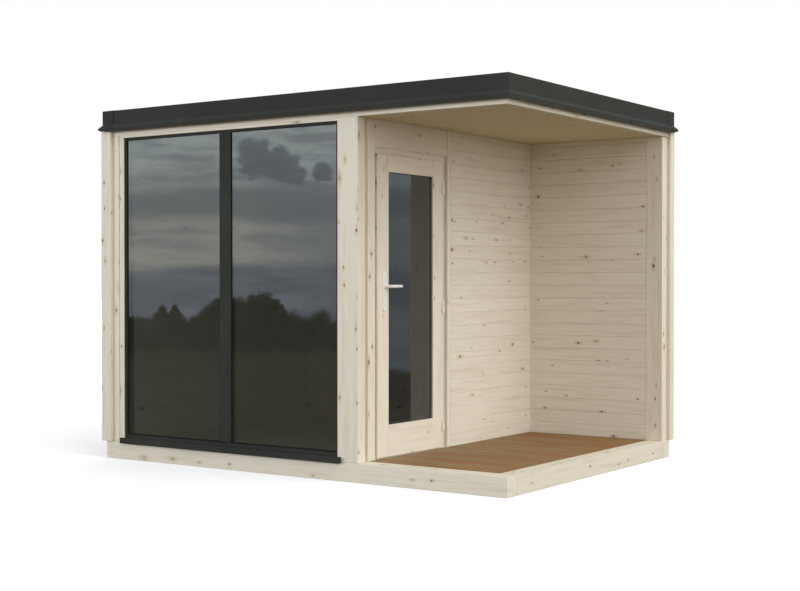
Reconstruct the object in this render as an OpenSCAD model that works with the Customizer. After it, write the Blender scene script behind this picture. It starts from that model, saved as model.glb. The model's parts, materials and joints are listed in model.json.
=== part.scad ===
// Outdoor sauna cabin: a flat-roofed timber room with a glazed front and a door
// onto a covered corner terrace. Front faces -Y, +Z is up, and the origin is on
// the ground at the middle of the overall plan, roof drips included.

/* [Base] */
// Width of the timber base, left to right
base_w = 3225; // [2800:5:4200]
// Depth of the timber base, front to back
base_d = 2255; // [1800:5:3000]
// Height of the base beams, and of the floor inside them
base_h = 120; // [100:1:160]
// Width of the front and right base beams
base_beam_w = 120; // [60:1:160]
// Thickness of the room floor and of the terrace deck
floor_t = 28; // [18:1:40]
// Width of one floor joist
joist_w = 45; // [30:1:60]
// Gap between the floor joists and the ground
joist_lift = 2; // [0:1:30]
// Largest spacing of the floor and roof joists
joist_pitch = 520; // [300:10:700]

/* [Walls] */
// Height of the room from floor to ceiling
wall_h = 2118; // [2060:1:2600]
// Thickness of the walls without their outside cladding
wall_t = 100; // [80:1:140]
// Thickness of the cladding on the left and back walls
cladding_t = 27; // [15:1:40]
// Width of the covered terrace, right of the room
terrace_w = 1052; // [900:1:1600]
// Width of the post at the front corner of the room
post_w = 156; // [100:1:200]
// Depth of the post at the front corner of the room
post_d = 76; // [60:1:90]
// Width of the post at the front left corner
left_post_w = 123; // [100:1:160]
// Width of the shadow groove beside the window jamb
groove_w = 5; // [3:1:20]
// Depth of the shadow groove beside the window jamb
groove_depth = 5; // [3:1:20]
// Width of the timber jamb left of the window
jamb_w = 41; // [15:1:60]
// Width of the post at the free end of the terrace back wall
end_post_w = 121; // [90:1:160]
// Distance from that post to the right face of the base
end_setback = 11; // [0:1:30]
// Width of the corner trims on the front and back faces
trim_w = 92; // [50:1:120]
// Thickness of the corner trims on the front and back faces
trim_t = 23; // [12:1:30]
// Width of the trim on the free end of the terrace back wall
end_trim_w = 69; // [50:1:90]
// How far that trim stands out from the right face of the base
end_trim_out = 14; // [4:1:30]
// How far that trim stands behind the back cladding
end_trim_proud = 15; // [5:1:25]

/* [Window] */
// Height of the timber rail under the window
window_rail_h = 27; // [15:1:60]
// Height of the timber head over the window
window_head_h = 18; // [10:1:80]
// Face width of the window's stiles and top profile
profile_w = 17; // [10:1:60]
// Face height of the window's bottom profile
bottom_profile_h = 28; // [15:1:60]
// Depth of the window's profiles, front to back
profile_d = 46; // [40:1:90]
// Setback of the window's profiles behind the wall face
profile_setback = 12; // [0:1:20]
// Face width of the mullion between the panes
mullion_w = 97; // [50:1:120]
// Distance from the window's middle to the mullion's, towards the left
mullion_shift = 5; // [0:1:60]
// Thickness of the sealed glass units
pane_t = 24; // [6:1:32]
// Depth of the glass behind the face of the profiles
pane_recess = 10; // [4:1:16]
// Thickness of the sill's sheet metal
sill_t = 3; // [2:1:4]
// How far the sill stands out from the wall face
sill_out = 28; // [15:1:45]
// Height of the sill's front drop
sill_drop = 38; // [20:1:60]
// How far the sill runs past the window's left end
sill_past_left = 17; // [0:1:60]
// How far the sill runs past the window's right end
sill_past_right = 29; // [0:1:60]

/* [Door] */
// Distance from the front corner post to the door frame's stud
stud_groove_w = 30; // [15:1:50]
// Width of the stud between that groove and the door
stud_w = 73; // [50:1:120]
// Depth of the door frame and of the grooves behind the wall face
frame_setback = 20; // [16:1:30]
// Width of the door leaf
leaf_w = 753; // [650:1:950]
// Height of the door leaf
leaf_h = 1897; // [1800:1:1960]
// Gap under the door leaf
leaf_gap = 8; // [5:1:15]
// Thickness of the door leaf
leaf_t = 40; // [36:1:60]
// Thickness of the leaf's lip that laps over the frame
lip_t = 15; // [12:1:16]
// How far the leaf's lip laps over the frame
lip_lap = 15; // [10:1:25]
// Running clearance between leaf and frame on the lock side
leaf_clear = 8; // [5:1:12]
// Running clearance between leaf and frame on the hinge side and at the head
hinge_clear = 5; // [5:1:10]
// Gap between the leaf's lip and the frame head over it
lip_gap = 2; // [2:1:8]
// Visible width of the frame beside the leaf on the lock side
lock_reveal = 29; // [10:1:40]
// Visible width of the frame beside the leaf on the hinge side
hinge_reveal = 54; // [30:1:80]
// Height of the frame head that shows over the leaf
head_h = 35; // [15:1:45]
// Height of the shadow gap over the frame head
head_gap = 8; // [4:1:15]
// Width of the stud behind the door's hinge side
rear_stud_w = 40; // [30:1:80]
// Width of the leaf's stiles
stile_w = 121; // [90:1:140]
// Height of the leaf's top rail
top_rail_h = 106; // [80:1:160]
// Height of the leaf's bottom rail
bottom_rail_h = 200; // [120:1:300]
// Thickness of the door glass
door_pane_t = 20; // [4:1:22]

/* [Door fittings] */
// Height of the lever's axis above the floor
lever_z = 1080; // [950:1:1150]
// Distance from the leaf's edge to the lever's axis
backset = 74; // [50:1:90]
// Width of the handle plates
plate_w = 41; // [30:1:50]
// Height of the handle plates
plate_h = 251; // [180:1:260]
// Thickness of the handle plates
plate_t = 8; // [4:1:10]
// Distance from the plate's middle up to the lever's axis
lever_above = 32; // [0:1:70]
// Diameter of the lever's grip
grip_d = 20; // [14:1:24]
// Length of the lever from its axis
grip_l = 114; // [90:1:140]
// Distance from the leaf's face to the middle of the grip
grip_out = 55; // [45:1:65]
// Diameter of the lever's spindle
spindle_d = 9; // [8:1:10]
// Radial running clearance around the spindle
spindle_clear = 0.3; // [0.2:0.1:0.5]
// Diameter of the hinge knuckles
knuckle_d = 14; // [12:1:16]
// Height of one hinge
hinge_h = 80; // [60:2:120]
// Distance from the leaf's face out to the hinge axis
hinge_out = 8; // [8:1:12]
// Distance from the leaf's rear edge in to the hinge axis
hinge_in = 12; // [4:1:12]
// Thickness of the hinge plates
hinge_t = 2.5; // [2:0.5:3]
// Gap between the two halves of a hinge
hinge_slit = 0.4; // [0.3:0.1:1]
// Distance from the leaf's bottom to the middle of the lowest hinge
low_hinge_end = 148; // [120:1:250]
// Distance from the leaf's top to the middle of the highest hinge
high_hinge_end = 175; // [120:1:250]

/* [Roof] */
// Height of the roof's edge beams
edge_beam_h = 175; // [150:1:240]
// Thickness of the roof's edge beams
edge_beam_t = 45; // [30:1:70]
// Thickness of the ceiling boards
ceiling_t = 20; // [12:1:28]
// Thickness of the roof boarding
boarding_t = 18; // [12:1:25]
// Thickness of the roof membrane
membrane_t = 3; // [2:1:6]
// Height of the roof edge above the membrane, without the fascia's sheet
kerb_h = 19; // [5:1:40]
// Distance from the base to the fascia metal, at the front and sides
fascia_out = 18; // [10:1:30]
// Distance from the base to the fascia metal, at the back
fascia_out_back = 34; // [20:1:45]
// Thickness of the fascia's sheet metal
sheet_t = 2; // [1:0.5:3]
// Height of the edge beams that shows under the fascia
band_h = 28; // [10:1:60]
// Height of the drip at the foot of the fascia, its slope and its upright lip
drip_h = 50; // [40:1:70]
// Height of the drip's upright lip
drip_lip_h = 27; // [10:1:35]
// How far the drip stands out from the fascia
drip_out = 22; // [15:1:40]
// Width of the fascia's flange on top of the roof edge
flange_w = 90; // [70:1:140]

/* [Hidden] */

// Colours
WOOD = [0.86, 0.82, 0.73];
WOOD_SHADE = [0.78, 0.73, 0.62];
DECK = [0.53, 0.42, 0.29];
ANTHRACITE = [0.22, 0.22, 0.21];
GLASS = [0.33, 0.36, 0.40];
STEEL = [0.78, 0.78, 0.76];
MEMBRANE = [0.16, 0.16, 0.16];

// Plan of the base: faces of the ring of base beams
left_x = -base_w / 2;
right_x = base_w / 2;
front_y = -(base_d + fascia_out_back - fascia_out) / 2;
back_y = front_y + base_d;

// Heights
floor_z = base_h;
ceiling_z = floor_z + wall_h;
roof_z = ceiling_z + edge_beam_h + sheet_t;
drip_z = ceiling_z + band_h;
bend_z = drip_z + drip_h;
lip_z = drip_z + drip_lip_h;
joist_z = floor_z - floor_t;
membrane_top_z = roof_z - sheet_t - kerb_h;
boarding_top_z = membrane_top_z - membrane_t;
boarding_z = boarding_top_z - boarding_t;

// Walls in plan
wall_x = right_x - terrace_w;
room_left_x = left_x + wall_t;
room_right_x = wall_x - wall_t;
room_back_y = back_y - wall_t;
deck_front_y = front_y + base_beam_w;
deck_right_x = right_x - base_beam_w;
end_face_x = right_x - end_setback;
end_post_x = end_face_x - end_post_w;
clad_back_y = back_y + cladding_t;
clad_left_x = left_x - cladding_t;

// Window opening
window_left_x = left_x + left_post_w + groove_w + jamb_w;
window_right_x = wall_x - post_w;
window_z = floor_z + window_rail_h + sill_t;
window_top_z = ceiling_z - window_head_h;
window_y = front_y + profile_setback;
mullion_x = (window_left_x + window_right_x) / 2 - mullion_shift;
pane_y = window_y + pane_recess;
light_z = window_z + bottom_profile_h;
light_top_z = window_top_z - profile_w;

// Door, from its front stud to its rear stud
stud_y = front_y + post_d + stud_groove_w;
frame_y = stud_y + stud_w;
leaf_y = frame_y + lock_reveal;
leaf_end_y = leaf_y + leaf_w;
frame_end_y = leaf_end_y + hinge_reveal;
door_wall_y = frame_end_y + rear_stud_w;
frame_x = wall_x - frame_setback;
opening_y = leaf_y + lip_lap;
opening_end_y = leaf_end_y - lip_lap;
leaf_z = floor_z + leaf_gap;
leaf_top_z = leaf_z + leaf_h;
head_z = leaf_top_z - lip_lap;
strip_z = leaf_top_z + lip_gap;
head_top_z = strip_z + head_h;
pane_low_z = leaf_z + bottom_rail_h;
pane_high_z = leaf_top_z - top_rail_h;
leaf_back_x = wall_x - leaf_t;
leaf_body_x = wall_x - lip_t;

// Fittings
lever_y = leaf_y + backset;
axis_z = floor_z + lever_z;
hinge_x = wall_x + hinge_out;
hinge_y = leaf_end_y - hinge_in;
hinge_zs = [
    leaf_z + low_hinge_end,
    (leaf_z + low_hinge_end + leaf_top_z - high_hinge_end) / 2,
    leaf_top_z - high_hinge_end
];

// Smoothness of round parts
$fn = 48;

// A cuboid between its lowest and highest corners
module block(low, high) {
    translate(low)
        cube(high - low);
}

// A profile drawn in the plane across X, run along X from x0 to x1
module along_x(x0, x1) {
    translate([x0, 0, 0])
        rotate([90, 0, 90])
            linear_extrude(x1 - x0)
                children();
}

// Middles of joists evenly spread between two limits, no more than a pitch apart
function joist_xs(x0, x1) =
    let (bays = ceil((x1 - x0) / joist_pitch))
    [for (i = [1:bays - 1]) x0 + i * (x1 - x0) / bays];

// ---- Base ----

module base_long_beams() {
    color(WOOD) {
        block([left_x, front_y, 0], [right_x, deck_front_y, base_h]);
        block([left_x, room_back_y, 0], [right_x, back_y, base_h]);
    }
}

module base_side_beams() {
    color(WOOD) {
        block([left_x, deck_front_y, 0], [room_left_x, room_back_y, base_h]);
        block([room_right_x, deck_front_y, 0], [wall_x, room_back_y, base_h]);
        block([deck_right_x, deck_front_y, 0], [right_x, room_back_y, base_h]);
    }
}

module joist_row(x0, x1, z0, z1, y0, y1) {
    for (x = joist_xs(x0, x1))
        block([x - joist_w / 2, y0, z0], [x + joist_w / 2, y1, z1]);
}

module floor_joists() {
    color(WOOD_SHADE) {
        joist_row(room_left_x, room_right_x, joist_lift, joist_z, deck_front_y, room_back_y);
        joist_row(wall_x, deck_right_x, joist_lift, joist_z, deck_front_y, room_back_y);
    }
}

module room_floor() {
    color(WOOD)
        block([room_left_x, deck_front_y, joist_z], [room_right_x, room_back_y, floor_z]);
}

module terrace_deck() {
    color(DECK)
        block([wall_x, deck_front_y, joist_z], [deck_right_x, room_back_y, floor_z]);
}

// ---- Walls ----

module front_corner_post() {
    color(WOOD)
        block([wall_x - post_w, front_y, floor_z], [wall_x, front_y + post_d, ceiling_z]);
}

module left_corner_post() {
    color(WOOD)
        block([left_x, front_y, floor_z], [left_x + left_post_w, front_y + wall_t, ceiling_z]);
}

// Window jamb with the shadow groove between it and the corner post
module window_jamb() {
    groove_x = left_x + left_post_w;
    color(WOOD) {
        block([groove_x, front_y + groove_depth, floor_z],
              [window_left_x, front_y + wall_t, ceiling_z]);
        block([groove_x + groove_w, front_y, floor_z],
              [window_left_x, front_y + wall_t, ceiling_z]);
    }
}

module window_base_rail() {
    color(WOOD)
        block([window_left_x, front_y, floor_z],
              [window_right_x, front_y + wall_t, floor_z + window_rail_h]);
}

module window_head() {
    color(WOOD)
        block([window_left_x, front_y, window_top_z],
              [window_right_x, front_y + wall_t, ceiling_z]);
}

module left_wall() {
    color(WOOD)
        block([left_x, front_y + wall_t, floor_z], [room_left_x, room_back_y, ceiling_z]);
}

module room_back_wall() {
    color(WOOD)
        block([left_x, room_back_y, floor_z], [wall_x, back_y, ceiling_z]);
}

module terrace_back_wall() {
    color(WOOD)
        block([wall_x, room_back_y, floor_z], [end_post_x, back_y, ceiling_z]);
}

module terrace_end_post() {
    color(WOOD)
        block([end_post_x, room_back_y, floor_z], [end_face_x, back_y, ceiling_z]);
}

// Studs on both sides of the door, each with the recessed board beside it
module door_studs() {
    color(WOOD) {
        block([room_right_x, front_y + post_d, floor_z], [frame_x, frame_y, ceiling_z]);
        block([room_right_x, stud_y, floor_z], [wall_x, frame_y, ceiling_z]);
        block([room_right_x, frame_end_y, floor_z], [wall_x, door_wall_y, ceiling_z]);
    }
}

// Panel over the door, with its lower edge cut back for the shadow gap
module door_header() {
    color(WOOD) {
        block([room_right_x, frame_y, head_top_z], [frame_x, frame_end_y, ceiling_z]);
        block([room_right_x, frame_y, head_top_z + head_gap],
              [wall_x, frame_end_y - stud_groove_w + head_gap, ceiling_z]);
    }
}

module door_wall() {
    color(WOOD)
        block([room_right_x, door_wall_y, floor_z], [wall_x, room_back_y, ceiling_z]);
}

module left_cladding() {
    color(WOOD)
        block([clad_left_x, front_y, floor_z], [left_x, back_y, lip_z]);
}

module back_cladding() {
    color(WOOD)
        block([clad_left_x, back_y, floor_z], [end_face_x, clad_back_y, lip_z]);
}

// Trims on the corners. The one on the terrace wall's free end is rebated over
// the roof's edge beam, and like the others it ends behind the drip's lip
module corner_trims() {
    end_trim_y = clad_back_y + end_trim_proud;
    end_trim_x = right_x + end_trim_out;
    color(WOOD) {
        block([clad_left_x, front_y - trim_t, floor_z], [clad_left_x + trim_w, front_y, lip_z]);
        block([clad_left_x, clad_back_y, floor_z],
              [clad_left_x + trim_w, clad_back_y + trim_t, lip_z]);
        block([end_face_x, end_trim_y - end_trim_w, floor_z],
              [end_trim_x, end_trim_y, ceiling_z]);
        block([right_x, end_trim_y - end_trim_w, floor_z], [end_trim_x, end_trim_y, lip_z]);
    }
}

// ---- Window ----

module window_stiles() {
    color(ANTHRACITE)
        for (x = [window_left_x, window_right_x - profile_w])
            block([x, window_y, window_z], [x + profile_w, window_y + profile_d, window_top_z]);
}

module window_rails() {
    color(ANTHRACITE) {
        block([window_left_x + profile_w, window_y, window_z],
              [window_right_x - profile_w, window_y + profile_d, light_z]);
        block([window_left_x + profile_w, window_y, light_top_z],
              [window_right_x - profile_w, window_y + profile_d, window_top_z]);
    }
}

module window_mullion() {
    color(ANTHRACITE)
        block([mullion_x - mullion_w / 2, window_y, light_z],
              [mullion_x + mullion_w / 2, window_y + profile_d, light_top_z]);
}

module window_pane(x0, x1) {
    color(GLASS)
        block([x0, pane_y, light_z], [x1, pane_y + pane_t, light_top_z]);
}

module window_glass_left() {
    window_pane(window_left_x + profile_w, mullion_x - mullion_w / 2);
}

module window_glass_right() {
    window_pane(mullion_x + mullion_w / 2, window_right_x - profile_w);
}

// Sheet sill: flat under the window, out over the base, and down in front
module window_sill() {
    top_z = window_z;
    out_y = front_y - sill_out;
    color(ANTHRACITE) {
        block([window_left_x, front_y, top_z - sill_t],
              [window_right_x, window_y + profile_d, top_z]);
        block([window_left_x - sill_past_left, out_y, top_z - sill_t],
              [window_right_x + sill_past_right, front_y, top_z]);
        block([window_left_x - sill_past_left, out_y, top_z - sill_drop],
              [window_right_x + sill_past_right, out_y + sill_t, top_z]);
    }
}

// ---- Door ----

module door_jambs() {
    color(WOOD) {
        block([room_right_x, frame_y, floor_z], [frame_x, opening_y, head_z]);
        block([room_right_x, opening_end_y, floor_z], [frame_x, frame_end_y, head_z]);
    }
}

// Frame head, with the strip that stands flush with the wall over the leaf
module door_head() {
    color(WOOD) {
        block([room_right_x, frame_y, head_z], [frame_x, frame_end_y, head_top_z]);
        block([room_right_x, frame_y, strip_z], [wall_x, leaf_end_y, head_top_z]);
    }
}

// One piece of the leaf: its lip over the frame and its body inside the frame
module leaf_piece(lip_low, lip_high, body_low, body_high) {
    block([leaf_body_x, lip_low[0], lip_low[1]], [wall_x, lip_high[0], lip_high[1]]);
    block([leaf_back_x, body_low[0], body_low[1]], [wall_x, body_high[0], body_high[1]]);
}

body_y = opening_y + leaf_clear;
body_end_y = opening_end_y - hinge_clear;
body_top_z = head_z - hinge_clear;

module spindle_bore(x0, x1) {
    translate([x0, lever_y, axis_z])
        rotate([0, 90, 0])
            cylinder(h = x1 - x0, d = spindle_d + 2 * spindle_clear);
}

module door_stiles() {
    color(WOOD)
        difference() {
            union() {
                leaf_piece([leaf_y, leaf_z], [leaf_y + stile_w, leaf_top_z],
                           [body_y, leaf_z], [leaf_y + stile_w, body_top_z]);
                leaf_piece([leaf_end_y - stile_w, leaf_z], [leaf_end_y, leaf_top_z],
                           [leaf_end_y - stile_w, leaf_z], [body_end_y, body_top_z]);
            }
            spindle_bore(leaf_back_x - 1, wall_x + 1);
        }
}

module door_rails() {
    rail_y = leaf_y + stile_w;
    rail_end_y = leaf_end_y - stile_w;
    color(WOOD) {
        leaf_piece([rail_y, pane_high_z], [rail_end_y, leaf_top_z],
                   [rail_y, pane_high_z], [rail_end_y, body_top_z]);
        leaf_piece([rail_y, leaf_z], [rail_end_y, pane_low_z],
                   [rail_y, leaf_z], [rail_end_y, pane_low_z]);
    }
}

module door_glass() {
    color(GLASS)
        block([leaf_body_x - door_pane_t, leaf_y + stile_w, pane_low_z],
              [leaf_body_x, leaf_end_y - stile_w, pane_high_z]);
}

// ---- Door fittings ----

// A length of hinge knuckle on the hinge axis
module knuckle(z0, z1) {
    translate([hinge_x, hinge_y, z0])
        cylinder(h = z1 - z0, d = knuckle_d);
}

// Lower knuckle of each hinge, with its angle plate on the rear jamb
module hinge_frame_halves() {
    arm_y = leaf_end_y + hinge_clear;
    color(STEEL)
        for (z = hinge_zs) {
            low_z = z - hinge_h / 2;
            high_z = z - hinge_slit / 2;
            knuckle(low_z, high_z);
            block([hinge_x - hinge_t / 2, hinge_y, low_z],
                  [hinge_x + hinge_t / 2, arm_y + hinge_t, high_z]);
            block([frame_x, arm_y, low_z], [hinge_x + hinge_t / 2, arm_y + hinge_t, high_z]);
        }
}

// Upper knuckle of each hinge, with its plate on the leaf
module hinge_leaf_halves() {
    color(STEEL)
        for (z = hinge_zs) {
            low_z = z + hinge_slit / 2;
            high_z = z + hinge_h / 2;
            knuckle(low_z, high_z);
            block([wall_x, hinge_y - 3 * knuckle_d / 2, low_z],
                  [wall_x + hinge_t, hinge_y, high_z]);
        }
}

module handle_plates() {
    low = [lever_y - plate_w / 2, axis_z - lever_above - plate_h / 2];
    high = low + [plate_w, plate_h];
    color(STEEL)
        difference() {
            for (x = [wall_x, leaf_back_x - plate_t])
                block([x, low[0], low[1]], [x + plate_t, high[0], high[1]]);
            spindle_bore(leaf_back_x - plate_t - 1, wall_x + plate_t + 1);
        }
}

// One side of the lever: a neck out of the plate and a grip towards the hinges
module lever_side(plate_x, side) {
    grip_x = plate_x + side * (grip_out - plate_t);
    translate([plate_x + side * spindle_clear, lever_y, axis_z])
        rotate([0, 90 * side, 0])
            cylinder(h = grip_out - plate_t - spindle_clear, d = grip_d);
    translate([grip_x, lever_y, axis_z])
        rotate([-90, 0, 0])
            cylinder(h = grip_l, d = grip_d);
    translate([grip_x, lever_y, axis_z])
        sphere(d = grip_d);
}

module lever() {
    color(STEEL) {
        translate([leaf_back_x - plate_t - spindle_clear, lever_y, axis_z])
            rotate([0, 90, 0])
                cylinder(h = leaf_t + 2 * (plate_t + spindle_clear), d = spindle_d);
        lever_side(wall_x + plate_t, 1);
        lever_side(leaf_back_x - plate_t, -1);
    }
}

// ---- Roof ----

// Edge beam in section, out = 0 at the base's face: the upper part is packed
// out to the fascia metal, and the lower part shows as a band under it
module edge_beam_profile(out) {
    top_z = roof_z - sheet_t;
    polygon([
        [-edge_beam_t, ceiling_z], [0, ceiling_z], [0, bend_z],
        [out - sheet_t, bend_z], [out - sheet_t, top_z], [-edge_beam_t, top_z]
    ]);
}

// Fascia metal in section: flange on the roof edge, upright face, and a drip
// that slopes out to an upright lip
module fascia_profile(out) {
    polygon([
        [out - flange_w, roof_z - sheet_t], [out - flange_w, roof_z], [out, roof_z], [out, bend_z],
        [out + drip_out, lip_z], [out + drip_out, drip_z], [out + drip_out - sheet_t, drip_z],
        [out + drip_out - sheet_t, lip_z - sheet_t / 2], [out - sheet_t, bend_z - sheet_t / 2],
        [out - sheet_t, roof_z - sheet_t]
    ]);
}

// Front edge run: a profile turned to face -Y, between two limits in X
module front_run(x0, x1) {
    translate([0, front_y, 0])
        mirror([0, 1, 0])
            along_x(x0, x1)
                children();
}

// Back edge run: the profile faces +Y
module back_run(x0, x1) {
    translate([0, back_y, 0])
        along_x(x0, x1)
            children();
}

// Side edge run: the profile faces +X, between two limits in Y
module side_run(y0, y1) {
    translate([0, y1, 0])
        rotate([90, 0, 0])
            linear_extrude(y1 - y0)
                children();
}

module right_run(y0, y1) {
    translate([right_x, 0, 0])
        side_run(y0, y1)
            children();
}

module left_run(y0, y1) {
    translate([left_x, 0, 0])
        mirror([1, 0, 0])
            side_run(y0, y1)
                children();
}

module edge_beams_long() {
    color(WOOD) {
        front_run(left_x, right_x)
            edge_beam_profile(fascia_out);
        back_run(left_x, right_x)
            edge_beam_profile(fascia_out_back);
    }
}

module edge_beams_side() {
    y0 = front_y + edge_beam_t;
    y1 = back_y - edge_beam_t;
    color(WOOD) {
        left_run(y0, y1)
            edge_beam_profile(fascia_out);
        right_run(y0, y1)
            edge_beam_profile(fascia_out);
    }
}

// Inside of the ring of edge beams
in_left_x = left_x + edge_beam_t;
in_right_x = right_x - edge_beam_t;
in_front_y = front_y + edge_beam_t;
in_back_y = back_y - edge_beam_t;

module ceiling() {
    color(WOOD)
        block([in_left_x, in_front_y, ceiling_z], [in_right_x, in_back_y, ceiling_z + ceiling_t]);
}

module roof_joists() {
    color(WOOD_SHADE)
        joist_row(in_left_x, in_right_x, ceiling_z + ceiling_t, boarding_z, in_front_y, in_back_y);
}

module roof_boarding() {
    color(WOOD_SHADE)
        block([in_left_x, in_front_y, boarding_z], [in_right_x, in_back_y, boarding_top_z]);
}

module roof_membrane() {
    color(MEMBRANE)
        block([in_left_x, in_front_y, boarding_top_z], [in_right_x, in_back_y, membrane_top_z]);
}

// Corners of the fascia's outer edge in plan, and of its mitre lines inside
far = drip_out + 1;
near = flange_w + fascia_out_back + 1;
fx0 = left_x - fascia_out;
fx1 = right_x + fascia_out;
fy0 = front_y - fascia_out;
fy1 = back_y + fascia_out_back;

// A mitred plan piece between two corners, going out by far and in by near
module mitre_plan(a, b, ina, inb) {
    translate([0, 0, drip_z - 1])
        linear_extrude(roof_z - drip_z + 2)
            polygon([a - far * ina, b - far * inb, b + near * inb, a + near * ina]);
}

module fascia_front() {
    color(ANTHRACITE)
        intersection() {
            front_run(fx0 - far, fx1 + far)
                fascia_profile(fascia_out);
            mitre_plan([fx0, fy0], [fx1, fy0], [1, 1], [-1, 1]);
        }
}

module fascia_back() {
    color(ANTHRACITE)
        intersection() {
            back_run(fx0 - far, fx1 + far)
                fascia_profile(fascia_out_back);
            mitre_plan([fx0, fy1], [fx1, fy1], [1, -1], [-1, -1]);
        }
}

module fascia_left() {
    color(ANTHRACITE)
        intersection() {
            left_run(fy0 - far, fy1 + far)
                fascia_profile(fascia_out);
            mitre_plan([fx0, fy0], [fx0, fy1], [1, 1], [1, -1]);
        }
}

module fascia_right() {
    color(ANTHRACITE)
        intersection() {
            right_run(fy0 - far, fy1 + far)
                fascia_profile(fascia_out);
            mitre_plan([fx1, fy0], [fx1, fy1], [-1, 1], [-1, -1]);
        }
}

base_long_beams();
base_side_beams();
floor_joists();
room_floor();
terrace_deck();
front_corner_post();
left_corner_post();
window_jamb();
window_base_rail();
window_head();
left_wall();
room_back_wall();
terrace_back_wall();
terrace_end_post();
door_studs();
door_header();
door_wall();
left_cladding();
back_cladding();
corner_trims();
window_stiles();
window_rails();
window_mullion();
window_glass_left();
window_glass_right();
window_sill();
door_jambs();
door_head();
door_stiles();
door_rails();
door_glass();
hinge_frame_halves();
hinge_leaf_halves();
handle_plates();
lever();
edge_beams_long();
edge_beams_side();
ceiling();
roof_joists();
roof_boarding();
roof_membrane();
fascia_front();
fascia_right();
fascia_back();
fascia_left();
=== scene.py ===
# Looks of the outdoor sauna cabin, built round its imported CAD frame. Metres, +Z up,
# front facing -Y, terrace on the +X side. Places come from the frame's boxes.
import json
import math
import random
from types import SimpleNamespace

import bmesh
import bpy
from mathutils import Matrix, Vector


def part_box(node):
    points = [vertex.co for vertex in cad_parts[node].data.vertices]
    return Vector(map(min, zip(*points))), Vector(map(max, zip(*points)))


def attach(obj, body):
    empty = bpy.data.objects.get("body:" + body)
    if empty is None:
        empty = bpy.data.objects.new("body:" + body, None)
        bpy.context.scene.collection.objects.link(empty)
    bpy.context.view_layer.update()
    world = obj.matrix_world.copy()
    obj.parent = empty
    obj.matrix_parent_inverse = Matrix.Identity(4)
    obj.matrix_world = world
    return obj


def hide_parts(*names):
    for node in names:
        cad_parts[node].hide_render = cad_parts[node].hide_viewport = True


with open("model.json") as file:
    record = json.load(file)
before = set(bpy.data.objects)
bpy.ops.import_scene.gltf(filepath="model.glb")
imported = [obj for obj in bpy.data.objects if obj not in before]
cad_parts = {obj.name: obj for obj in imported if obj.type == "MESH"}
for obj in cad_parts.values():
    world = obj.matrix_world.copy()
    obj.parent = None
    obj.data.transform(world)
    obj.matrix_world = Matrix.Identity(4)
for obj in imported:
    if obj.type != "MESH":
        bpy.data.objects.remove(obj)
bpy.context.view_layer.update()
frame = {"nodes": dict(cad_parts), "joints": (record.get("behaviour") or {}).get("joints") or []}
X, Y, Z = 0, 1, 2
rng = random.Random(11)


def box(node):
    """A CAD node's faces at rest."""
    low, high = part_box(node)
    return SimpleNamespace(x0=low.x, y0=low.y, z0=low.z, x1=high.x, y1=high.y, z1=high.z)


def ends(b):
    """The lowest and the highest corner of a box."""
    return (b.x0, b.y0, b.z0), (b.x1, b.y1, b.z1)


base = box("base_long_beams")
deck = box("terrace_deck")
room = box("room_floor")
post = box("front_corner_post")
jamb = box("window_jamb")
studs = box("door_studs")
door_frame = box("door_jambs")
head = box("door_head")
leaf = box("door_stiles")
door_pane = box("door_glass")
wall = box("door_wall")
mullion = box("window_mullion")
window = box("window_stiles")
pane_left = box("window_glass_left")
pane_right = box("window_glass_right")
plates = box("handle_plates")
beams = box("edge_beams_long")
ceiling = box("ceiling")
fascia = box("fascia_front")

# ---- Mesh building ----

ARRIS = 0.003          # eased edge of planed timber
FINE_ARRIS = 0.002     # eased edge of boards and frames
SMOOTH_BELOW = math.radians(50)
END_MARK = 1.0         # marks end grain, which shows no knots
LEAST_BOARD = 0.012    # a narrower rest joins the board before it
SLIVER = 0.004         # a rest too narrow for any board


def outline(u0, v0, u1, v1, radius, steps):
    """Corners of a rounded rectangle, anticlockwise from its lower right."""
    middles = ((u1 - radius, v0 + radius), (u1 - radius, v1 - radius),
               (u0 + radius, v1 - radius), (u0 + radius, v0 + radius))
    points = []
    for quarter, (u, v) in enumerate(middles):
        for i in range(steps + 1):
            turn = math.radians(90 * (quarter - 1 + i / steps))
            points.append((u + radius * math.cos(turn), v + radius * math.sin(turn)))
    return points


def on_axis(axis, t, flat):
    """The points of a flat outline, set at t along an axis."""
    ring = []
    for u, v in flat:
        point = [0.0, 0.0, 0.0]
        point[axis] = t
        point[(axis + 1) % 3] = u
        point[(axis + 2) % 3] = v
        ring.append(Vector(point))
    return ring


def loft(bm, rings, endless=False):
    """Skins a row of rings, with end faces, or with the last ring joined to the first."""
    rows = [[bm.verts.new(p) for p in ring] for ring in rings]
    count = len(rows[0])
    faces = []
    for a, b in zip(rows, rows[1:] + rows[:1] if endless else rows[1:]):
        for i in range(count):
            j = (i + 1) % count
            faces.append(bm.faces.new((a[i], a[j], b[j], b[i])))
    if not endless:
        faces.append(bm.faces.new(rows[0][::-1]))
        faces.append(bm.faces.new(rows[-1]))
    return faces


def rounded_box(bm, low, high, axis, radius, steps=2, ease=True):
    """A box with rounded edges along an axis, and eased ends."""
    u, v = (axis + 1) % 3, (axis + 2) % 3
    rings = []
    cut = radius if ease else 0.0
    full = outline(low[u], low[v], high[u], high[v], radius, steps)
    small = outline(low[u] + cut, low[v] + cut, high[u] - cut, high[v] - cut, radius / 2, steps)
    if ease:
        rings.append(on_axis(axis, low[axis], small))
    rings.append(on_axis(axis, low[axis] + cut, full))
    rings.append(on_axis(axis, high[axis] - cut, full))
    if ease:
        rings.append(on_axis(axis, high[axis], small))
    return loft(bm, rings)


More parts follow.
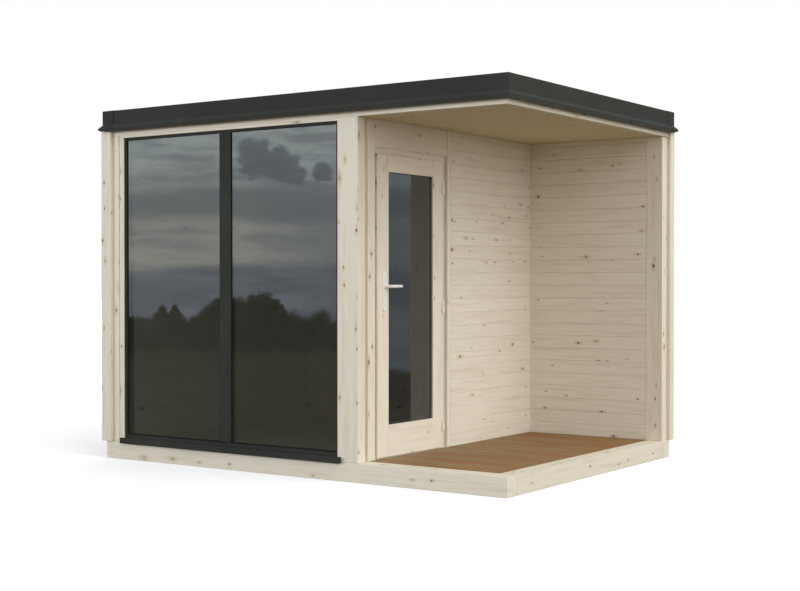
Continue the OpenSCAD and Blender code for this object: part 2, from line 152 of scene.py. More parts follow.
def circle(centre, axis, along, radii):
    """Points at these radii round an axis through a point, this far along it."""
    flat = []
    for i, radius in enumerate(radii):
        turn = 2 * math.pi * i / len(radii)
        flat.append((centre[(axis + 1) % 3] + radius * math.cos(turn),
                     centre[(axis + 2) % 3] + radius * math.sin(turn)))
    return on_axis(axis, centre[axis] + along, flat)


def around(bm, axis, u0, v0, u1, v1, profile):
    """Sweeps a closed profile of (inset, place on the axis) round a rectangle, mitred."""
    rings = []
    for inset, t in profile:
        rings.append(on_axis(axis, t, ((u0 + inset, v0 + inset), (u1 - inset, v0 + inset),
                                       (u1 - inset, v1 - inset), (u0 + inset, v1 - inset))))
    return loft(bm, rings, endless=True)


def new_mesh():
    """An empty mesh with the attributes that the timber materials read."""
    bm = bmesh.new()
    bm.loops.layers.float_vector.new("grain")
    bm.loops.layers.float_vector.new("face")
    bm.faces.layers.float.new("tone")
    return bm


def set_grain(bm, faces, along, thin, centre, seat, tone):
    """Gives faces their place in the timber: grain along x, and the pith off to one side."""
    grain = bm.loops.layers.float_vector["grain"]
    flat = bm.loops.layers.float_vector["face"]
    shade = bm.faces.layers.float["tone"]
    across = 3 - along - thin
    for face in faces:
        face[shade] = tone
        face.normal_update()
        facing = max(range(3), key=lambda axis: abs(face.normal[axis]))
        for loop in face.loops:
            p = loop.vert.co - centre
            loop[grain] = Vector((p[along] + seat[0], p[across] + seat[1], p[thin] + seat[2]))
            if facing == along:
                loop[flat] = Vector((p[across], p[thin], END_MARK))
            else:
                side = across if facing == thin else thin
                shift = 0.0 if facing == thin else 7.0
                loop[flat] = Vector((p[along] + seat[0], p[side] + seat[0] * 3 + shift, 0))


def new_seat(section):
    """A chance place in the tree for a timber whose broad face has this width."""
    off_middle = rng.uniform(-0.6, 0.6) * max(section, 0.05)
    return (rng.uniform(0, 40), off_middle, rng.choice((-1, 1)) * rng.uniform(0.03, 0.09))


def timber(bm, low, high, along, thin, arris=ARRIS, steps=2, ease=True, tone=None):
    """A length of timber between two corners, with the axes of its grain and its thickness."""
    low, high = Vector(low), Vector(high)
    faces = rounded_box(bm, low, high, along, arris, steps, ease)
    across = 3 - along - thin
    seat = new_seat(high[across] - low[across])
    shade = rng.uniform(-1, 1) if tone is None else tone
    set_grain(bm, faces, along, thin, (low + high) / 2, seat, shade)
    return faces


def boards(bm, low, high, along, across, width, gap=0.0, first=None, arris=0.0025, steps=1,
           ease=False):
    """Boards side by side between two corners, following each other across one axis."""
    thin = 3 - along - across
    edge = low[across]
    step = first or width
    while edge < high[across] - SLIVER:
        top = min(edge + step, high[across])
        if high[across] - top < LEAST_BOARD:
            top = high[across]
        a, b = list(low), list(high)
        a[across] = edge
        b[across] = top - gap if top < high[across] else top
        timber(bm, a, b, along, thin, arris * rng.uniform(0.6, 1.05), steps, ease)
        edge = top
        step = width


def new_object(name, data):
    """An object in the scene, from a mesh, a lamp or a camera."""
    made = bpy.data.objects.new(name, data)
    bpy.context.scene.collection.objects.link(made)
    return made


def mesh_object(name, bm):
    """An object in the scene from a finished mesh."""
    mesh = bpy.data.meshes.new(name)
    bm.to_mesh(mesh)
    bm.free()
    return new_object(name, mesh)


def piece(name, bm, material, body, *nodes, slot=None, more=()):
    """Makes a mesh into a piece that rides on a body and stands for CAD nodes."""
    bmesh.ops.recalc_face_normals(bm, faces=bm.faces)
    for face in bm.faces:
        face.smooth = True
    for edge in bm.edges:
        edge.smooth = len(edge.link_faces) == 2 and edge.calc_face_angle() < SMOOTH_BELOW
    made = mesh_object(name, bm)
    for m in (material, *more):
        made.data.materials.append(m)
    made.modifiers.new("normals", "WEIGHTED_NORMAL").keep_sharp = True
    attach(made, body)
    if nodes:
        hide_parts(*nodes)


def wooden(name, bm, look, *nodes, body="cabin"):
    piece(name, bm, look, body, *nodes, slot="spruce")


# ---- Materials ----

def srgb(red, green, blue):
    """A colour written as 0-255 sRGB, as the shaders take it."""
    def linear(part):
        share = part / 255
        return share / 12.92 if share <= 0.04045 else ((share + 0.055) / 1.055) ** 2.4
    return (linear(red), linear(green), linear(blue), 1.0)


def add(tree, kind, inputs=None, **settings):
    """Adds a shader node. Each input is a value, or the output socket that drives it."""
    made = tree.nodes.new("ShaderNode" + kind)
    for key, value in settings.items():
        setattr(made, key, value)
    for key, value in (inputs or {}).items():
        if isinstance(value, bpy.types.NodeSocket):
            tree.links.new(value, made.inputs[key])
        else:
            made.inputs[key].default_value = value
    return made


def object_place(tree):
    """Where a point is on the object, in metres."""
    return add(tree, "TexCoord").outputs["Object"]


def calc(tree, operation, *values, clamp=False):
    """A Math node's output."""
    made = add(tree, "Math", dict(enumerate(values)), operation=operation, use_clamp=clamp)
    return made.outputs[0]


def stretch(tree, vector, scale):
    """A vector with each part scaled."""
    return add(tree, "VectorMath", {0: vector, 1: scale}, operation="MULTIPLY").outputs[0]


def soft_step(tree, value, start, end, low=0.0, high=1.0):
    """A smooth ramp from low to high as value goes from start to end."""
    made = add(tree, "MapRange",
               {"Value": value, "From Min": start, "From Max": end, "To Min": low, "To Max": high},
               interpolation_type="SMOOTHSTEP")
    return made.outputs["Result"]


def blend(tree, factor, a, b, how="MIX"):
    """Mixes two colours: sockets 0, 6 and 7 are the factor and the colours of a Mix node."""
    made = add(tree, "Mix", {0: factor, 6: a, 7: b}, data_type="RGBA", blend_type=how)
    return made.outputs[2]


def noise(tree, vector, scale, detail=2.0, rough=0.5):
    """Soft noise from 0 to 1."""
    made = add(tree, "TexNoise",
               {"Vector": vector, "Scale": scale, "Detail": detail, "Roughness": rough})
    return made.outputs["Fac"]


def new_material(name, constants):
    """A material with a Principled shader, and its constants on the shader's own sockets."""
    material = bpy.data.materials.new(name)
    material.use_nodes = True
    shader = material.node_tree.nodes["Principled BSDF"]
    for socket, value in constants.items():
        shader.inputs[socket].default_value = value
    return material, material.node_tree, shader


def drive(tree, shader, **sockets):
    for name, value in sockets.items():
        tree.links.new(value, shader.inputs[name.replace("_", " ")])


def bump(tree, shader, height, strength, distance):
    made = add(tree, "Bump", {"Height": height, "Strength": strength, "Distance": distance})
    tree.links.new(made.outputs["Normal"], shader.inputs["Normal"])


def timber_look(name, pale, tan, knot, rings=0.12, patches=0.2, patch_size=(2.2, 30, 30),
                patch_edge=(0.45, 0.75), flecks=0.2, streaks=0.04, knots=0.3, knot_size=1.0,
                tones=0.02, hues=0.0, rough=(0.5, 0.66), plain_axis=None):
    """Planed timber: rings, fibre, patches, flecks and knots in each board's own grain. With
    plain_axis the grain follows that axis of the object instead."""
    material, tree, shader = new_material(name, {"Specular IOR Level": 0.4})
    if plain_axis is None:
        grain = add(tree, "Attribute", attribute_name="grain").outputs["Vector"]
        flat = add(tree, "Attribute", attribute_name="face").outputs["Vector"]
        tone = add(tree, "Attribute", attribute_name="tone").outputs["Fac"]
    else:
        place = object_place(tree)
        parts = add(tree, "SeparateXYZ", {0: place}).outputs
        order = [parts[plain_axis], parts[(plain_axis + 1) % 3], parts[(plain_axis + 2) % 3]]
        grain = add(tree, "CombineXYZ", dict(enumerate(order))).outputs[0]
        flat = stretch(tree, grain, (1, 1, 0))
        tone = calc(tree, "MULTIPLY_ADD", noise(tree, grain, 0.9, 0.0), 4.0, -2.0)

    # Growth rings about the pith, which wander slowly along the board
    slow = stretch(tree, grain, (0.07, 1, 1))
    wave = add(tree, "TexWave",
               {"Vector": slow, "Scale": 70.0, "Distortion": 11.0, "Detail": 2.0,
                "Detail Scale": 0.2, "Detail Roughness": 0.6},
               wave_type="RINGS", rings_direction="X", wave_profile="SIN").outputs["Fac"]
    late = soft_step(tree, wave, 0.45, 1.0)
    fibre = noise(tree, stretch(tree, grain, (5, 330, 330)), 1.0, 2.0, 0.6)
    patch = soft_step(tree, noise(tree, stretch(tree, grain, patch_size), 1.0, 3.0, 0.6), *patch_edge)
    fleck = soft_step(tree, noise(tree, stretch(tree, grain, (5, 110, 110)), 1.0), 0.58, 0.74)

    colour = blend(tree, calc(tree, "MULTIPLY", late, rings), pale, tan)
    turned_tan = calc(tree, "MULTIPLY_ADD", tone, hues, calc(tree, "MULTIPLY", patch, patches), clamp=True)
    colour = blend(tree, turned_tan, colour, tan)
    colour = blend(tree, calc(tree, "MULTIPLY", fleck, flecks), colour, tan)

    # Knots, one at most to a cell of the face, with a streak drawn out along the grain
    marks = add(tree, "SeparateXYZ", {0: flat}).outputs
    warp = noise(tree, stretch(tree, grain, (60, 80, 80)), 1.0, 1.0)
    place_along = calc(tree, "MULTIPLY", marks[0], 7.0)
    place_across = calc(tree, "MULTIPLY_ADD", warp, 0.03, calc(tree, "MULTIPLY", marks[1], 8.0))
    warped = add(tree, "CombineXYZ", {0: place_along, 1: place_across}).outputs[0]
    cells = add(tree, "TexVoronoi", {"Vector": warped, "Scale": 1.0},
                voronoi_dimensions="2D", feature="F1").outputs
    luck = add(tree, "SeparateColor", {0: cells["Color"]}).outputs
    radius = calc(tree, "MULTIPLY_ADD", calc(tree, "POWER", luck[0], 3.0), 0.055 * knot_size,
                  0.042 * knot_size)
    there = calc(tree, "MULTIPLY", calc(tree, "LESS_THAN", luck[1], knots),
                 calc(tree, "SUBTRACT", 1.0, marks[2], clamp=True))
    from_knot = add(tree, "VectorMath", {0: warped, 1: cells["Position"]},
                    operation="SUBTRACT").outputs[0]
    reach = add(tree, "VectorMath", {0: stretch(tree, from_knot, (0.4, 1, 1))},
                operation="LENGTH").outputs["Value"]
    core = soft_step(tree, calc(tree, "DIVIDE", cells["Distance"], radius), 1.2, 0.5)
    halo = soft_step(tree, calc(tree, "DIVIDE", reach, radius), 1.9, 0.6)
    core = calc(tree, "MULTIPLY", core, there)
    halo = calc(tree, "MULTIPLY", halo, there)
    colour = blend(tree, calc(tree, "MULTIPLY", halo, 0.45), colour, tan)
    dark = soft_step(tree, luck[2], 0.15, 0.75, 0.3, 0.85)
    colour = blend(tree, calc(tree, "MULTIPLY", core, dark), colour, knot)

    # Fibre and the board's tone, as a brightness about 1. The tone is the board's own, except where a dark
    # one paints in shade
    light = calc(tree, "MULTIPLY_ADD", fibre, streaks * 2, 1 - streaks)
    light = calc(tree, "MULTIPLY_ADD", tone, tones, light)
    light = calc(tree, "MULTIPLY_ADD", patch, -0.04, light)
    grey = add(tree, "CombineColor", {0: light, 1: light, 2: light}).outputs[0]
    colour = blend(tree, 1.0, colour, grey, "MULTIPLY")
    drive(tree, shader, Base_Color=colour, Roughness=soft_step(tree, fibre, 0.3, 0.7, *rough))
    relief = calc(tree, "MULTIPLY_ADD", late, 0.5, calc(tree, "MULTIPLY_ADD", core, -0.8, fibre))
    bump(tree, shader, relief, 0.25, 0.0005)
    return material


def coated_look(name, colour, worn, rough=(0.48, 0.6), grain=900.0, gloss=0.15):
    """Matt powder-coated metal: a fine texture, and a faint cloudiness."""
    material, tree, shader = new_material(name, {"Specular IOR Level": gloss})
    place = object_place(tree)
    cloud = noise(tree, place, 2.3, 4.0, 0.6)
    fine = noise(tree, place, grain, 1.0)
    drive(tree, shader, Base_Color=blend(tree, soft_step(tree, cloud, 0.4, 0.75), colour, worn),
          Roughness=soft_step(tree, cloud, 0.3, 0.7, *rough))
    bump(tree, shader, fine, 0.12, 0.0002)
    return material


def satin_look(name, colour, along=(60, 60, 2), metal=0.5):
    """Steel with fine scratches along one axis. A near-white colour with little metal paints in the bright
    reflection of pale satin steel.
    """
    material, tree, shader = new_material(name, {"Metallic": metal, "Specular IOR Level": 0.6})
    place = object_place(tree)
    scratch = noise(tree, stretch(tree, place, along), 14.0, 3.0, 0.7)
    shade = soft_step(tree, scratch, 0.3, 0.7, 0.9, 1.0)
    tint = add(tree, "CombineColor", {0: shade, 1: shade, 2: shade}).outputs[0]
    drive(tree, shader, Base_Color=blend(tree, 1.0, colour, tint, "MULTIPLY"),
          Roughness=soft_step(tree, scratch, 0.3, 0.7, 0.24, 0.36))
    bump(tree, shader, scratch, 0.08, 0.0001)
    return material


def glass_look(name, colour, alpha, index, tint=(1, 1, 1, 1)):
    """Glass that shows what is behind it and mirrors well, with a breath of dust."""
    material, tree, shader = new_material(name, {"Base Color": colour, "Alpha": alpha, "IOR": index,
                                                 "Specular Tint": tint})
    place = object_place(tree)
    dust = noise(tree, place, 3.0, 4.0, 0.65)
    drive(tree, shader, Roughness=soft_step(tree, dust, 0.35, 0.8, 0.01, 0.04))
    return material


def membrane_look(name):
    """Roofing felt with mineral granules."""
    material, tree, shader = new_material(name, {"Specular IOR Level": 0.3})
    place = object_place(tree)
    grit = noise(tree, place, 420.0, 2.0, 0.7)
    cloud = noise(tree, place, 1.7, 4.0, 0.6)
    colour = blend(tree, soft_step(tree, grit, 0.4, 0.65), srgb(40, 41, 42), srgb(78, 79, 80))
    colour = blend(tree, soft_step(tree, cloud, 0.35, 0.8, 0.0, 0.35), colour, srgb(96, 94, 88))
    drive(tree, shader, Base_Color=colour, Roughness=soft_step(tree, grit, 0.3, 0.7, 0.8, 0.95))
    bump(tree, shader, grit, 0.5, 0.001)
    return material


PALE = srgb(229, 219, 198)
TAN = srgb(196, 168, 128)
KNOT = srgb(112, 78, 46)
spruce = timber_look("spruce", PALE, TAN, KNOT)
spruce_frame = timber_look("spruce_frame", PALE, TAN, KNOT, rings=0.08, streaks=0.03, knots=0.45,
                           knot_size=1.35)
spruce_hidden = [timber_look(f"spruce_rough_{'xyz'[axis]}", PALE, TAN, KNOT, plain_axis=axis)
                 for axis in range(3)]
# A darker copy of the spruce paints in the shade under the roof.
spruce_soffit_painted_shade = timber_look("spruce_soffit_painted_shade", srgb(218, 202, 172), srgb(188, 160, 118), KNOT)
deck_wood = timber_look("deck_wood", srgb(136, 117, 76), srgb(138, 86, 41), srgb(66, 46, 30),
                        rings=0.3, patches=0.8, patch_size=(1.2, 14, 14), patch_edge=(0.44, 0.56),
                        flecks=0.5, streaks=0.14, knots=0.1, tones=0.05, hues=0.35,
                        rough=(0.5, 0.65))
anthracite = coated_look("anthracite_coating", srgb(55, 55, 50), srgb(61, 61, 56), gloss=0.04)
black_profile = coated_look("black_profile", srgb(24, 24, 22), srgb(31, 31, 29))
rubber = coated_look("rubber_seal", srgb(22, 22, 21), srgb(32, 32, 31), rough=(0.6, 0.75), grain=400.0)
# The handle: a near-white colour with little metal paints in the bright reflection of satin steel.
pale_satin_painted_reflection = satin_look("satin_steel", srgb(250, 246, 235), metal=0.15)
# The hinges: a near-white colour with no metal paints in the bright reflection of satin steel.
hinge_painted_reflection = satin_look("hinge_painted_reflection_white", srgb(250, 241, 222), metal=0.0)
zinc = satin_look("zinc_screw", srgb(170, 168, 160), along=(30, 30, 30))
window_glass = glass_look("tinted_glass", (0.008, 0.009, 0.009, 1), 0.72, 3.7)
door_tint = glass_look("door_glass", (0.008, 0.008, 0.008, 1), 0.74, 2.22, tint=(0.88, 0.94, 1, 1))
clear_glass = glass_look("clear_glass", (0.5, 0.55, 0.53, 1), 0.06, 1.45)
membrane = membrane_look("roof_membrane")

# ---- Small parts ----


def screw(bm, centre, axis, side, radius):
    """A countersunk screw head with a hexagonal socket, facing one side of an axis."""
    rings = []
    for share, depth in ((1.0, -0.0006), (0.96, 0.0), (0.8, 0.0004), (0.42, 0.0006), (0.36, -0.0012)):
        notch = 0.86 if share < 0.5 else 1.0
        rings.append(circle(centre, axis, side * depth, (radius * share, radius * share * notch) * 6))
    loft(bm, rings)


def joists(x0, x1, pitch=0.52):
    """Middles of the joists between two walls, as the frame spaces them."""
    bays = math.ceil((x1 - x0) / pitch)
    return [x0 + i * (x1 - x0) / bays for i in range(1, bays)]


# ---- Base and floors ----

def ring_beams(name, level, inner, sides, long_node, side_node):
    """Long beams at the front and the back at one level, and side beams between them."""
    bm = new_mesh()
    for y0, y1 in ((base.y0, inner.y0), (inner.y1, base.y1)):
        timber(bm, (base.x0, y0, level.z0), (base.x1, y1, level.z1), X, Y)
    wooden(name + "_long_timbers", bm, spruce_frame, long_node)
    bm = new_mesh()
    for x0, x1 in sides:
        timber(bm, (x0, inner.y0, level.z0), (x1, inner.y1, level.z1), Y, X)
    wooden(name + "_side_timbers", bm, spruce_frame, side_node)


FLOOR_BOARD = 0.095
DECK_BOARD = 0.113
DECK_GAP = 0.002
SCREW_INSET = 0.022
SCREW_HEAD = 0.0045      # radius of a deck screw's head
SCREW_SUNK = 0.0008


def floors():
    bm = new_mesh()
    boards(bm, *ends(room), X, Y, FLOOR_BOARD, arris=FINE_ARRIS)
    wooden("room_floor_boards", bm, spruce, "room_floor")
    bm = new_mesh()
    boards(bm, *ends(deck), X, Y, DECK_BOARD, gap=DECK_GAP, arris=FINE_ARRIS, steps=2)
    piece("terrace_boards", bm, deck_wood, "cabin", "terrace_deck", slot="deck_boards")
    bm = new_mesh()
    lines = [deck.x0 + SCREW_INSET, *joists(deck.x0, deck.x1), deck.x1 - SCREW_INSET]
    y = deck.y0
    while y < deck.y1 - SCREW_INSET * 2:
        for side in (SCREW_INSET, DECK_BOARD - DECK_GAP - SCREW_INSET):
            if y + side < deck.y1 - 0.01:
                for x in lines:
                    screw(bm, (x, y + side, deck.z1 - SCREW_SUNK), Z, 1, SCREW_HEAD)
        y += DECK_BOARD
    piece("terrace_screws", bm, zinc, "cabin", slot="satin_steel")


# ---- Walls ----

COURSE = 0.091           # height of one wall board
FIRST_COURSE = 0.083     # height of the lowest one that shows
PLINTH_GAP = 0.002       # the door wall's boards stop short of the deck
PLINTH_DEPTH = 0.03      # how deep into the wall they do
GROOVE = 0.005           # shadow groove beside the window jamb
GROOVE_DEPTH = 0.005
STUD_GROOVE = 0.030      # groove between the corner post and the door's stud


def board_wall(node, along, ease=False):
    bm = new_mesh()
    boards(bm, *ends(box(node)), along, Z, COURSE, first=FIRST_COURSE, ease=ease)
    wooden(node + "_boards", bm, spruce, node)


def walls():
    board_wall("left_wall", Y, ease=True)
    board_wall("room_back_wall", X, ease=True)
    board_wall("terrace_back_wall", X, ease=True)
    bm = new_mesh()
    boards(bm, *ends(wall), Y, Z, COURSE, first=FIRST_COURSE)
    # The lowest board is cut short on the terrace's side, so that the deck stays clear of it
    for v in bm.verts:
        if v.co.x > wall.x1 - PLINTH_DEPTH and v.co.z < wall.z0 + PLINTH_GAP:
            v.co.z += PLINTH_GAP
    wooden("door_wall_boards", bm, spruce, "door_wall")
    board_wall("left_cladding", Y)
    board_wall("back_cladding", X)


def posts():
    for node in ("front_corner_post", "left_corner_post", "terrace_end_post"):
        bm = new_mesh()
        timber(bm, *ends(box(node)), Z, Y, tone=0.3)
        wooden(node + "_timber", bm, spruce_frame, node)
    bm = new_mesh()
    timber(bm, (jamb.x0, jamb.y0 + GROOVE_DEPTH, jamb.z0), (jamb.x1, jamb.y1, jamb.z1), Z, Y)
    timber(bm, (jamb.x0 + GROOVE, jamb.y0, jamb.z0), (jamb.x1, jamb.y1 - 0.001, jamb.z1), Z, Y)
    wooden("window_jamb_timber", bm, spruce_frame, "window_jamb")
    for node in ("window_base_rail", "window_head"):
        bm = new_mesh()
        timber(bm, *ends(box(node)), X, Y, arris=FINE_ARRIS)
        wooden(node + "_timber", bm, spruce_frame, node)


TRIM_WIDTH = 0.092
TRIM_THICK = 0.023
END_TRIM_WIDTH = 0.069


def trims():
    b = box("corner_trims")
    left = box("left_cladding")
    back = box("back_cladding")
    end = box("terrace_end_post")
    inner = left.x0 + TRIM_WIDTH
    bm = new_mesh()
    timber(bm, (left.x0, b.y0, b.z0), (inner, left.y0, b.z1), Z, Y)
    timber(bm, (left.x0, back.y1, b.z0), (inner, back.y1 + TRIM_THICK, b.z1), Z, Y)
    # The trim on the wall's free end is thinner where it laps over the roof's edge beam
    low, high = Vector((end.x1, b.y1 - END_TRIM_WIDTH, b.z0)), Vector((b.x1, b.y1, ceiling.z0))
    faces = rounded_box(bm, low, high, Z, ARRIS, ease=False)
    faces += rounded_box(bm, (base.x1, low.y, high.z), (b.x1, b.y1, b.z1), Z, ARRIS, ease=False)
    set_grain(bm, faces, Z, X, (low + high) / 2, new_seat(END_TRIM_WIDTH), 0.2)
    wooden("corner_trim_timbers", bm, spruce_frame, "corner_trims")


# ---- Window ----

WINDOW_SHEET = 0.006     # thickness of one sheet of a sealed unit
SEAL = 0.002             # seal that shows round the window's glass
COVER = 0.008            # thickness of a cover profile
SHADOW_GAP = 0.006       # black line over the bottom rail's cover


def profile(bm, low, high, axis):
    """A black window profile with an anthracite cover on its face."""
    face_y = low[1] + COVER
    body = rounded_box(bm, (low[0], face_y - 0.001, low[2]), high, axis, 0.001, ease=False)
    rounded_box(bm, low, (high[0], face_y, high[2]), axis, 0.002, ease=False)
    for face in body:
        face.material_index = 1


def window_part(name, bm, node):
    piece(name, bm, anthracite, "cabin", node, slot="window_profile", more=(black_profile,))


def window_frame():
    """Black profiles with anthracite covers. The bottom rail's cover stops short of the glass."""
    w = window
    bm = new_mesh()
    for x0, x1 in ((w.x0, pane_left.x0), (pane_right.x1, w.x1)):
        profile(bm, (x0, w.y0, w.z0), (x1, w.y1, w.z1), Z)
    window_part("window_stile_profiles", bm, "window_stiles")
    bm = new_mesh()
    x0, x1 = pane_left.x0, pane_right.x1
    profile(bm, (x0, w.y0, pane_left.z1), (x1, w.y1, w.z1), X)
    core = rounded_box(bm, (x0, w.y0 + COVER, w.z0), (x1, w.y1, pane_left.z0), X, 0.001, ease=False)
    for face in core:
        face.material_index = 1
    top = pane_left.z0 - SHADOW_GAP
    rounded_box(bm, (x0, w.y0, w.z0), (x1, w.y0 + COVER + 0.001, top), X, 0.002, ease=False)
    window_part("window_rail_profiles", bm, "window_rails")
    bm = new_mesh()
    profile(bm, *ends(mullion), Z)
    window_part("mullion_cover", bm, "window_mullion")


def glass_unit(name, node, axis, body, outer_side, sheet, glass, seal_width):
    """A sealed unit: a tinted sheet and a clear one on a spacer, sealed round the outer face."""
    low, high = ends(box(node))
    near, far = (low[axis], high[axis]) if outer_side < 0 else (high[axis], low[axis])
    inward = 1 if far > near else -1
    bm = new_mesh()
    for start in (near, far - inward * sheet):
        a, c = list(low), list(high)
        a[axis], c[axis] = sorted((start, start + inward * sheet))
        faces = rounded_box(bm, a, c, axis, 0.0005, steps=1, ease=False)
        for face in faces:
            face.material_index = 2
        if start == near:
            faces[-2 if outer_side < 0 else -1].material_index = 0
    u, v = (axis + 1) % 3, (axis + 2) % 3
    spacer = around(bm, axis, low[u], low[v], high[u], high[v],
                    ((0, near + inward * sheet), (SEAL, near + inward * sheet),
                     (SEAL, far - inward * sheet), (0, far - inward * sheet)))
    for face in spacer:
        face.material_index = 1
    seal = around(bm, axis, low[u], low[v], high[u], high[v],
                  ((0, near), (seal_width, near), (seal_width * 0.6, near - inward * 0.003),
                   (0, near - inward * 0.003)))
    for face in seal:
        face.material_index = 1
    piece(name, bm, glass, body, node, slot="tinted_glass", more=(rubber, clear_glass))


def sill():
    b = box("window_sill")
    front = post.y0
    sheet = 0.003
    fold = 0.004
    bm = new_mesh()
    # The sheet in section, front lip to back edge, as (y, z) pairs
    section = [(b.y0 + sheet, b.z0), (b.y0, b.z0)]
    for i in range(5):
        turn = math.radians(180 - 90 * i / 4)
        section.append((b.y0 + fold + fold * math.cos(turn), b.z1 - fold + fold * math.sin(turn)))
    section += [(front, b.z1), (front, b.z1 - sheet), (b.y0 + fold, b.z1 - sheet),
                (b.y0 + sheet, b.z1 - fold)]
    loft(bm, [on_axis(X, x, section) for x in (b.x0 + 0.002, b.x1 - 0.002)])
    flat_low, flat_high = (window.x0, front, b.z1 - sheet), (window.x1, b.y1, b.z1)
    rounded_box(bm, flat_low, flat_high, X, 0.0005, steps=1, ease=False)
    # End caps
    for x in (b.x0, b.x1 - 0.004):
        rounded_box(bm, (x, b.y0 + 0.0005, b.z0 + 0.001), (x + 0.004, front, b.z1), X, 0.0012, ease=True)
    piece("sill_sheet", bm, anthracite, "cabin", "window_sill", slot="fascia_metal")


# ---- Door ----

LAP = 0.015              # how far the leaf's lip laps over the frame
LIP = wall.x1 - door_pane.x1
STILE = door_pane.y0 - leaf.y0
HEAD_STRIP = leaf.z1 + 0.0008
HEAD_GAP = 0.004         # groove between the frame's head and the panel over it
SHADED_TONE = -9.0              # tone that paints shade into a board: the jamb in its recess on the hinge side, and the strip under the leaf
DOOR_SHEET = 0.005
DOOR_SEAL = 0.001        # seal that shows round the door's glass
JAMB_STEP = 0.005        # how far a stop on the jamb stands out beside the leaf


def door_surround():
    bm = new_mesh()
    stud_y = post.y1 + STUD_GROOVE
    low, high = (studs.x0, studs.y0, studs.z0), (door_frame.x1, stud_y + 0.01, studs.z1)
    timber(bm, low, high, Z, X, tone=-0.4)
    low, high = (studs.x0, stud_y, studs.z0), (studs.x1, door_frame.y0, studs.z1)
    timber(bm, low, high, Z, X, tone=0.4)
    low, high = (studs.x0, door_frame.y1, studs.z0), (studs.x1, studs.y1, studs.z1)
    timber(bm, low, high, Z, X, tone=0.5)
    wooden("door_stud_timbers", bm, spruce_frame, "door_studs")
    h = box("door_header")
    bm = new_mesh()
    timber(bm, (h.x0, h.y0, h.z0), (h.x1 - HEAD_GAP, h.y1, h.z1), Y, X)
    high = (h.x1, h.y1 - STUD_GROOVE + HEAD_GAP, h.z1)
    timber(bm, (h.x0, h.y0, h.z0 + HEAD_GAP), high, Y, X, tone=-0.3)
    wooden("door_header_panel", bm, spruce_frame, "door_header")
    bm = new_mesh()
    d = door_frame
    low, high = (d.x1 - 0.002, d.y0, d.z0), (d.x1 + JAMB_STEP, leaf.y0 - 0.002, d.z1)
    timber(bm, low, high, Z, X, arris=0.001, tone=1.0)
    # The hinge side's jamb takes the dark tone: painted shade of its recess beside the leaf.
    for y0, y1, tone in ((d.y0, leaf.y0 + LAP, 0.2), (leaf.y1 - LAP, d.y1, SHADED_TONE)):
        timber(bm, (d.x0, y0, d.z0), (d.x1, y1, d.z1), Z, X, arris=0.002, tone=tone)
    wooden("door_jamb_timbers", bm, spruce, "door_jambs")
    bm = new_mesh()
    timber(bm, (head.x0, head.y0, head.z0), (door_frame.x1, head.y1, head.z1), Y, X, arris=0.002)
    low, high = (head.x0, head.y0, HEAD_STRIP), (head.x1, leaf.y1, head.z1)
    timber(bm, low, high, Y, X, arris=0.0008, tone=0.2)
    wooden("door_head_timbers", bm, spruce, "door_head")
    bm = new_mesh()
    low, high = (leaf.x0 + 0.01, d.y0, room.z1), (leaf.x1 - LIP - 0.002, d.y1, room.z1 + THRESHOLD)
    # The strip under the leaf takes the dark tone: painted shade in the gap under the door.
    timber(bm, low, high, Y, Z, arris=0.001, tone=SHADED_TONE)
    wooden("door_threshold", bm, spruce)


THRESHOLD = 0.0045       # height of the strip under the door leaf
LOCK_CLEAR = 0.008       # clearance of the leaf's body on the lock side
HINGE_CLEAR = 0.005
FINE = 0.0003            # eased edge of the leaf's joinery
LEAF_TONE = 2.5          # the leaf is of brighter boards than the wall


def door_leaf():
    lip_x = wall.x1 - LIP
    body_top = leaf.z1 - LAP - HINGE_CLEAR
    inner0, inner1 = leaf.y0 + STILE, leaf.y1 - STILE
    bm = new_mesh()
    for y0, y1, by0, by1 in ((leaf.y0, inner0, leaf.y0 + LAP + LOCK_CLEAR, inner0),
                             (inner1, leaf.y1, inner1, leaf.y1 - LAP - HINGE_CLEAR)):
        timber(bm, (lip_x, y0, leaf.z0), (leaf.x1, y1, leaf.z1), Z, X, arris=FINE, tone=LEAF_TONE)
        timber(bm, (leaf.x0, by0, leaf.z0), (lip_x + 0.0005, by1, body_top), Z, X, tone=0.1)
    wooden("door_stile_timbers", bm, spruce, "door_stiles", body="door")
    bm = new_mesh()
    for z0, z1, bz1 in ((leaf.z0, door_pane.z0, door_pane.z0), (door_pane.z1, leaf.z1, body_top)):
        timber(bm, (lip_x, inner0, z0), (leaf.x1, inner1, z1), Y, X, arris=FINE, tone=LEAF_TONE)
        timber(bm, (leaf.x0, inner0, z0), (lip_x + 0.0005, inner1, bz1), Y, X, arris=FINE, tone=LEAF_TONE)
    # Glazing beads on the room's side
    p = door_pane
    bead = ((0.0, p.x0), (0.011, p.x0), (0.011, p.x0 - 0.003), (0.003, p.x0 - 0.0048), (0.0, p.x0 - 0.0048))
    faces = around(bm, X, p.y0, p.z0, p.y1, p.z1, bead)
    bmesh.ops.recalc_face_normals(bm, faces=faces)
    for face in faces:
        middle = face.calc_center_median()
        side_gap = min(middle.y - p.y0, p.y1 - middle.y)
        upright = side_gap < min(middle.z - p.z0, p.z1 - middle.z)
        along = Z if upright else Y
        set_grain(bm, [face], along, X, Vector((p.x0, p.y0, p.z0)), (3.0, 0.04, 0.05), 0.3)
    wooden("door_rail_timbers", bm, spruce, "door_rails", body="door")


# ---- Door fittings ----

hinge_joint = next(j for j in frame["joints"] if j["name"] == "door_hinge")
lever_joint = next(j for j in frame["joints"] if j["name"] == "lever_turn")
HINGE_X, HINGE_Y = hinge_joint["pos_m"][:2]
LEVER_Y, LEVER_Z = lever_joint["pos_m"][1:]
HINGE_HEIGHT = 0.080
KNUCKLE = 0.0065         # radius of a hinge's knuckle
PLATE = 0.0018           # thickness of a hinge's plates


